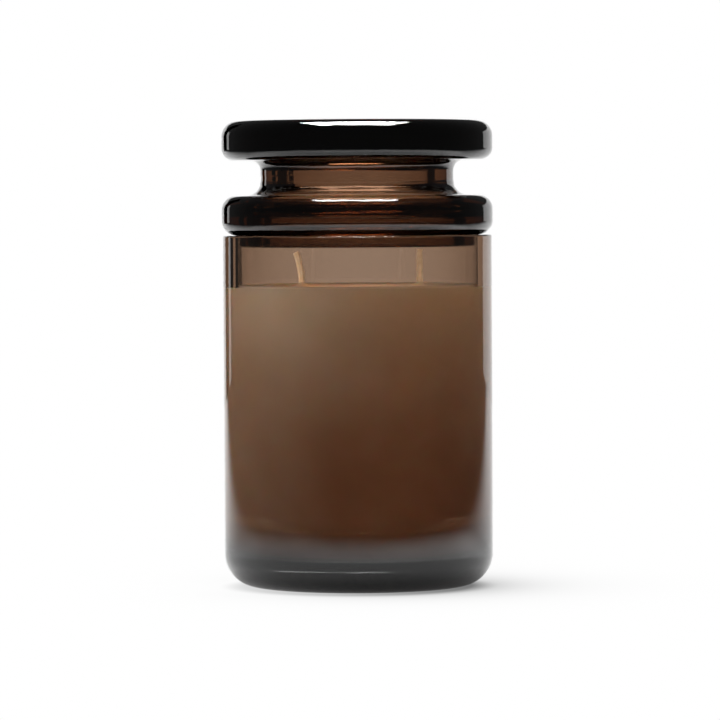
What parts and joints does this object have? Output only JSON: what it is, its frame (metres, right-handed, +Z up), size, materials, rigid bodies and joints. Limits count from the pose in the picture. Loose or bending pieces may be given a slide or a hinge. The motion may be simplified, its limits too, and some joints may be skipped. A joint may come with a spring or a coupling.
{
  "type": "lidded jar candle",
  "caption": "Cylindrical tinted glass candle jar with a thick rounded foot, filled with wax and cotton wicks on metal clips, closed by a hollow spool-shaped glass lid that lifts off.",
  "frame": {"origin": "centre of the jar's base, on the table", "axes": "+Z up along the jar's axis; +X from the left wick to the right wick; -Y towards the viewer"},
  "size_m": [0.1008, 0.1008, 0.1729],
  "materials": {
    "tinted_glass": "clear polished brown-grey smoked glass",
    "wax": "soft satin ivory wax, slightly translucent",
    "wick_cotton": "braided cotton, pre-waxed",
    "tinned_steel": "bright tin plate",
    "adhesive_foam": "white foam adhesive pad"
  },
  "bodies": {
    "jar": {"jar": "tinted_glass", "wax": "wax", "wick_left": "wick_cotton", "wick_right": "wick_cotton", "wick_clip_left": "tinned_steel", "wick_clip_right": "tinned_steel", "clip_pad_left": "adhesive_foam", "clip_pad_right": "adhesive_foam"},
    "lid": {"lid": "tinted_glass"}
  },
  "joints": [
    {"name": "lid_lift", "type": "slide", "parent": "jar", "child": "lid", "axis": [0, 0, 1], "range_m": [0, 0.08]}
  ]
}
